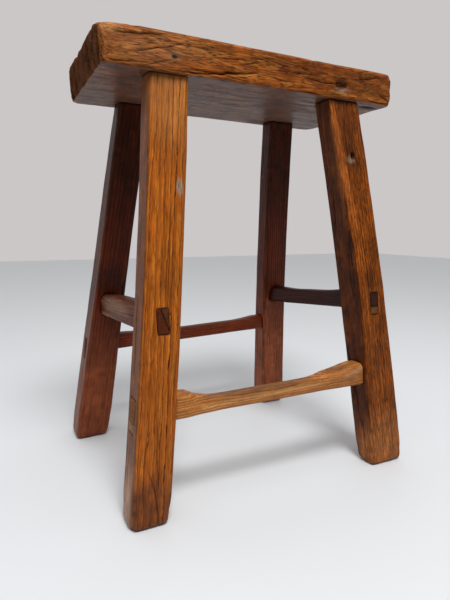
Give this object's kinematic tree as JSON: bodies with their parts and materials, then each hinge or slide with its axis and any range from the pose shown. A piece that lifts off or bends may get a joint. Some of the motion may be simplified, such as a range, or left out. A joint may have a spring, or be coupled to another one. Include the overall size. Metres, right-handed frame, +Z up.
{
  "type": "milking stool",
  "caption": "Rustic wooden milking stool: thick oblong plank seat on raked square legs, braced by low, offset stretchers with wedged through tenons.",
  "frame": {"origin": "on the floor, at the middle of the stool's footprint box", "axes": "+Z up, +X along the seat's length, front of the stool (the side with the low stretcher) towards -Y"},
  "size_m": [0.384, 0.2886, 0.502],
  "materials": {
    "seat": "waxed, worn, deep open grain",
    "front_left_leg": "waxed, worn arrises",
    "front_right_leg": "waxed, pitted, worn arrises",
    "rear_left_leg": "waxed, dark stained",
    "rear_right_leg": "waxed, dark stained",
    "front_stretcher": "polished by feet, honey coloured",
    "rear_stretcher": "waxed, dark stained",
    "left_stretcher": "worn, greyed",
    "right_stretcher": "waxed, dark stained",
    "wedges": "worn end grain",
    "nail_iron": "dark, lightly rusted"
  },
  "bodies": {
    "root": {"seat": "seat", "front_left_leg": "front_left_leg", "front_right_leg": "front_right_leg", "rear_left_leg": "rear_left_leg", "rear_right_leg": "rear_right_leg", "front_stretcher": "front_stretcher", "rear_stretcher": "rear_stretcher", "left_stretcher": "left_stretcher", "right_stretcher": "right_stretcher", "front_left_head_wedge": "wedges", "front_right_head_wedge": "wedges", "rear_left_head_wedge": "wedges", "rear_right_head_wedge": "wedges", "front_stretcher_left_wedge": "wedges", "front_stretcher_right_wedge": "wedges", "rear_stretcher_left_wedge": "wedges", "rear_stretcher_right_wedge": "wedges", "left_stretcher_rear_wedge": "wedges", "left_stretcher_front_wedge": "wedges", "right_stretcher_rear_wedge": "wedges", "right_stretcher_front_wedge": "wedges", "seat_nail": "nail_iron"}
  },
  "joints": []
}
